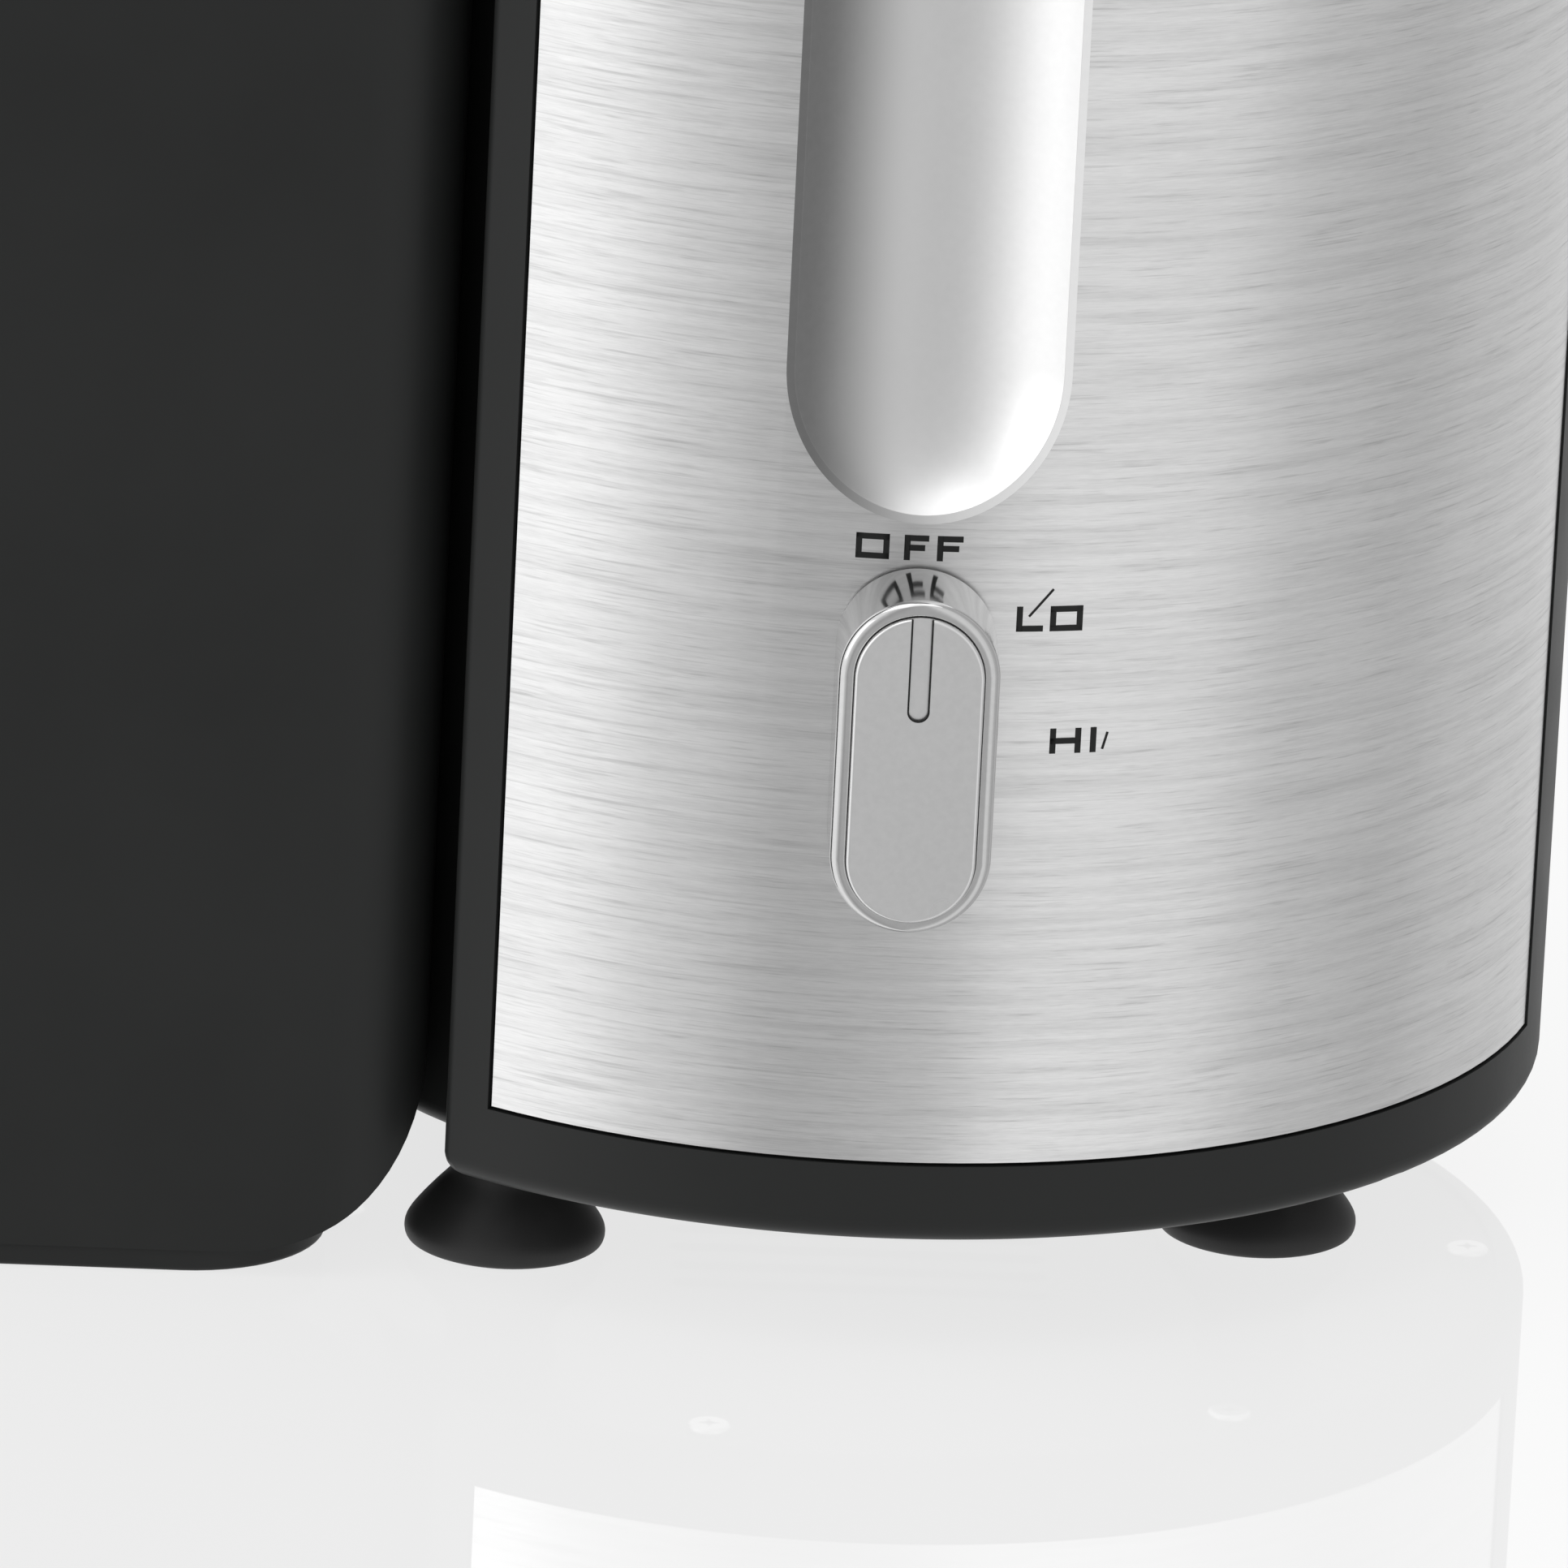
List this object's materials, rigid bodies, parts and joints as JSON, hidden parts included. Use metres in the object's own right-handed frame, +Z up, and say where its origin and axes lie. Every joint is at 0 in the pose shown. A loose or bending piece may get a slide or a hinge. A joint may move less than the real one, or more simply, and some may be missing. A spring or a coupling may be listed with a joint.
{
  "type": "centrifugal juicer",
  "caption": "Upright centrifugal juicer with a curved brushed steel front, side pulp container, clear lid with feed chute and pusher, turning speed knob and locking clamps.",
  "frame": {"origin": "on the standing surface, under the middle of the whole machine's outline", "axes": "+Z up; -Y is the front with the knob; +X is the side of the juice spout, -X the side of the pulp container"},
  "size_m": [0.321, 0.236, 0.4],
  "materials": {
    "black_plastic": "fine satin moulded",
    "dark_plastic": "moulded",
    "white_plastic": "moulded",
    "brushed_steel": "horizontal brushed",
    "satin_silver": "satin",
    "polished_chrome": "polished",
    "perforated_steel": "fine perforated",
    "clear_plastic": "clear moulded",
    "rubber": "matt",
    "silicone": "soft matt",
    "steel": "machined",
    "zinc_steel": "zinc plated",
    "laminated_iron": "stacked sheets",
    "copper": "enamelled wire",
    "commutator_copper": "turned",
    "cast_alloy": "die cast",
    "carbon": "graphite",
    "circuit_board": "lacquered"
  },
  "bodies": {
    "base": {"base_housing": "black_plastic", "motor_deck": "dark_plastic", "front_panel": "brushed_steel", "channel_insert": "satin_silver", "bottom_plate": "dark_plastic", "bottom_screws": "zinc_steel", "foot_front_left": "rubber", "foot_front_right": "rubber", "foot_rear_left": "rubber", "foot_rear_right": "rubber", "cord_inlet": "rubber", "shaft_seal": "rubber", "stator_core": "laminated_iron", "field_windings": "copper", "upper_bracket": "cast_alloy", "lower_bracket": "cast_alloy", "upper_bearing": "steel", "lower_bearing": "steel", "motor_bolts": "zinc_steel", "motor_mounts": "rubber", "brush_holders": "dark_plastic", "carbon_brushes": "carbon", "speed_switch": "dark_plastic", "speed_board": "circuit_board", "terminal_block": "white_plastic", "safety_switch": "dark_plastic", "front_clamp_pin": "steel", "rear_clamp_pin": "steel"},
    "rotor": {"motor_shaft": "steel", "armature_core": "laminated_iron", "armature_winding": "copper", "commutator": "commutator_copper", "cooling_fan": "dark_plastic", "drive_coupling": "dark_plastic"},
    "basket": {"grater_disc": "steel", "filter_mesh": "perforated_steel", "basket_rim": "steel", "basket_hub": "white_plastic"},
    "bowl": {"juice_bowl": "dark_plastic", "spout_nozzle": "silicone"},
    "lid": {"juicer_lid": "clear_plastic", "lid_seal": "silicone"},
    "pusher": {"pusher_body": "clear_plastic", "pusher_cap": "black_plastic"},
    "knob": {"speed_knob": "polished_chrome", "knob_cap": "satin_silver", "knob_shaft": "steel"},
    "plunger": {"safety_plunger": "white_plastic", "plunger_spring": "steel"},
    "front_clamp": {"front_clamp": "black_plastic", "front_clamp_cover": "satin_silver"},
    "rear_clamp": {"rear_clamp": "black_plastic", "rear_clamp_cover": "satin_silver"},
    "container": {"pulp_container": "black_plastic"}
  },
  "joints": [
    {"name": "knob_turn", "type": "hinge", "parent": "base", "child": "knob", "pos_m": [0.0245, -0.1, 0.0942], "axis": [0, 1, 0], "range_deg": [0, 94]},
    {"name": "rotor_spin", "type": "hinge", "parent": "base", "child": "rotor", "pos_m": [0.0245, 0, 0.1], "axis": [0, 0, 1], "continuous": true},
    {"name": "basket_lift", "type": "slide", "parent": "rotor", "child": "basket", "axis": [0, 0, 1], "range_m": [0, 0.09]},
    {"name": "bowl_lift", "type": "slide", "parent": "base", "child": "bowl", "axis": [0, 0, 1], "range_m": [0, 0.035]},
    {"name": "lid_lift", "type": "slide", "parent": "base", "child": "lid", "axis": [0, 0, 1], "range_m": [0, 0.15]},
    {"name": "pusher_slide", "type": "slide", "parent": "lid", "child": "pusher", "axis": [0, 0, 1], "range_m": [0, 0.12]},
    {"name": "front_clamp_turn", "type": "hinge", "parent": "base", "child": "front_clamp", "pos_m": [0.0245, -0.0946, 0.24], "axis": [1, 0, 0], "range_deg": [-14, 50]},
    {"name": "rear_clamp_turn", "type": "hinge", "parent": "base", "child": "rear_clamp", "pos_m": [0.0245, 0.0946, 0.24], "axis": [-1, 0, 0], "range_deg": [-14, 50]},
    {"name": "plunger_press", "type": "slide", "parent": "base", "child": "plunger", "axis": [0, 0, 1], "range_m": [-0.003, 0], "stiffness_N_per_m": 300, "springref_m": 0.002, "deforming": ["plunger_spring"]},
    {"name": "container_slide", "type": "slide", "parent": "base", "child": "container", "axis": [-1, 0, 0], "range_m": [0, 0.16]}
  ],
  "couplings": [
    {"joint": "basket_lift", "follows": "lid_lift", "ratio": 0.6},
    {"joint": "bowl_lift", "follows": "lid_lift", "ratio": 0.22}
  ]
}
